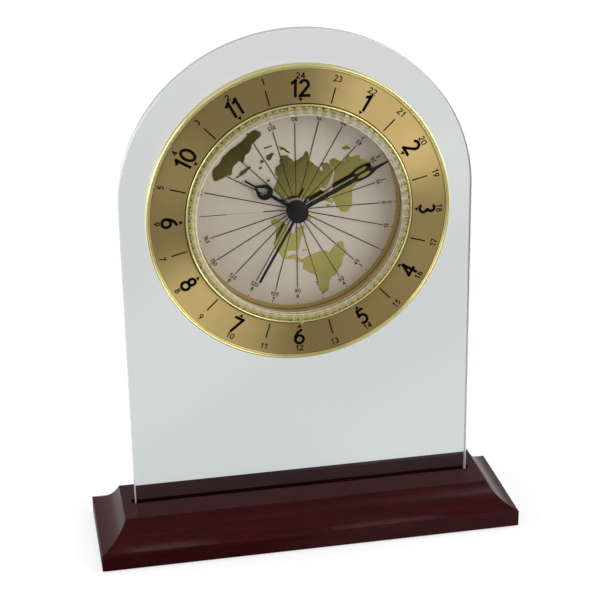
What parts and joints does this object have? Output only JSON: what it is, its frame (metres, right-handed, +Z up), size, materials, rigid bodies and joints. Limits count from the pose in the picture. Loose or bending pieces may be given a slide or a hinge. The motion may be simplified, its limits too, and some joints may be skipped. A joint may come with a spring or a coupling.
{
  "type": "world time clock",
  "caption": "Desk clock with an arched glass slab in a coved wooden base, a gold hour ring, hands and a 24-hour map disc driven by a battery movement.",
  "frame": {"origin": "centre of the felt's underside, where the base rests", "axes": "+X to the right seen from the front, -Y out of the dial towards the viewer, +Z up"},
  "size_m": [0.178, 0.0524, 0.2165],
  "materials": {
    "lacquered_wood": "high gloss lacquer over dark red-brown grain",
    "black_felt": "short felt",
    "clear_glass": "polished flat glass with bevelled edges",
    "clear_plastic": "clear acrylic",
    "polished_brass": "polished",
    "brushed_brass": "fine circular brushing",
    "satin_brass": "satin",
    "black_plastic": "moulded, fine grain",
    "black_foam": "closed-cell foam",
    "white_plastic": "moulded acetal",
    "soft_iron": "bright nickel plate",
    "copper_wire": "fine enamelled wire",
    "board_laminate": "bare laminate",
    "cell_sleeve": "plain sleeve",
    "printed_disc": "matte silver with gold map",
    "black_metal": "satin black",
    "magnet": "sintered magnet with a plastic pinion"
  },
  "bodies": {
    "clock": {"base": "lacquered_wood", "base_felt": "black_felt", "glass_panel": "clear_glass", "slot_shim_left": "clear_plastic", "slot_shim_right": "clear_plastic", "bezel": "polished_brass", "dial_ring": "brushed_brass", "crystal": "clear_plastic", "well_ring": "satin_brass", "housing_cup": "black_plastic", "foam_pad_1": "black_foam", "foam_pad_2": "black_foam", "foam_pad_3": "black_foam", "foam_pad_4": "black_foam", "stem_washer": "black_foam", "stem_nut": "polished_brass", "movement_front_shell": "black_plastic", "movement_middle_plate": "white_plastic", "movement_back_shell": "black_plastic", "stator_plate": "soft_iron", "coil_core": "soft_iron", "coil_bobbin": "white_plastic", "coil_winding": "copper_wire", "circuit_board": "board_laminate", "quartz_can": "soft_iron", "battery_cell": "cell_sleeve", "contact_plate": "soft_iron", "contact_leaf": "soft_iron"},
    "map_disc": {"map_disc": "printed_disc", "wheel_24_hour": "white_plastic"},
    "hour_hand": {"hour_hand": "black_metal", "hour_wheel": "white_plastic"},
    "minute_hand": {"minute_hand": "black_metal", "minute_pinion": "polished_brass"},
    "second_hand": {"second_hand": "black_metal", "seconds_wheel": "white_plastic"},
    "centre_wheel": {"centre_wheel": "white_plastic"},
    "third_wheel": {"third_wheel": "white_plastic"},
    "motor_wheel": {"motor_wheel": "white_plastic"},
    "rotor": {"rotor": "magnet"},
    "motion_wheel": {"motion_wheel": "white_plastic"},
    "intermediate_24_hour_wheel": {"intermediate_24_hour_wheel": "white_plastic"},
    "setting_knob": {"setting_knob": "black_plastic"}
  },
  "joints": [
    {"name": "map_disc_turn", "type": "hinge", "parent": "clock", "child": "map_disc", "pos_m": [0, 0.009, 0.1412], "axis": [0, -1, 0], "continuous": true},
    {"name": "hour_hand_turn", "type": "hinge", "parent": "clock", "child": "hour_hand", "pos_m": [0, 0.009, 0.1412], "axis": [0, -1, 0], "continuous": true},
    {"name": "minute_hand_turn", "type": "hinge", "parent": "clock", "child": "minute_hand", "pos_m": [0, 0.009, 0.1412], "axis": [0, -1, 0], "continuous": true},
    {"name": "motion_wheel_turn", "type": "hinge", "parent": "clock", "child": "motion_wheel", "pos_m": [0.00234, 0.009, 0.15092], "axis": [0, -1, 0], "continuous": true},
    {"name": "intermediate_wheel_turn", "type": "hinge", "parent": "clock", "child": "intermediate_24_hour_wheel", "pos_m": [0.01691, 0.009, 0.14736], "axis": [0, -1, 0], "continuous": true},
    {"name": "setting_knob_turn", "type": "hinge", "parent": "clock", "child": "setting_knob", "pos_m": [-0.00706, 0.009, 0.15431], "axis": [0, -1, 0], "continuous": true},
    {"name": "second_hand_turn", "type": "hinge", "parent": "clock", "child": "second_hand", "pos_m": [0, 0.009, 0.1412], "axis": [0, -1, 0], "continuous": true},
    {"name": "third_wheel_turn", "type": "hinge", "parent": "clock", "child": "third_wheel", "pos_m": [-0.0125, 0.009, 0.1412], "axis": [0, -1, 0], "continuous": true},
    {"name": "centre_wheel_turn", "type": "hinge", "parent": "clock", "child": "centre_wheel", "pos_m": [0, 0.009, 0.1412], "axis": [0, -1, 0], "continuous": true},
    {"name": "motor_wheel_turn", "type": "hinge", "parent": "clock", "child": "motor_wheel", "pos_m": [0.01221, 0.009, 0.13861], "axis": [0, -1, 0], "continuous": true},
    {"name": "rotor_turn", "type": "hinge", "parent": "clock", "child": "rotor", "pos_m": [0.01731, 0.009, 0.1473], "axis": [0, -1, 0], "continuous": true}
  ],
  "couplings": [
    {"joint": "hour_hand_turn", "follows": "map_disc_turn", "ratio": -2},
    {"joint": "minute_hand_turn", "follows": "map_disc_turn", "ratio": -24},
    {"joint": "motion_wheel_turn", "follows": "map_disc_turn", "ratio": 8},
    {"joint": "intermediate_wheel_turn", "follows": "map_disc_turn", "ratio": -8},
    {"joint": "setting_knob_turn", "follows": "map_disc_turn", "ratio": -24},
    {"joint": "third_wheel_turn", "follows": "second_hand_turn", "ratio": -0.13333},
    {"joint": "centre_wheel_turn", "follows": "second_hand_turn", "ratio": 0.016667},
    {"joint": "motor_wheel_turn", "follows": "second_hand_turn", "ratio": -5},
    {"joint": "rotor_turn", "follows": "second_hand_turn", "ratio": 30}
  ]
}
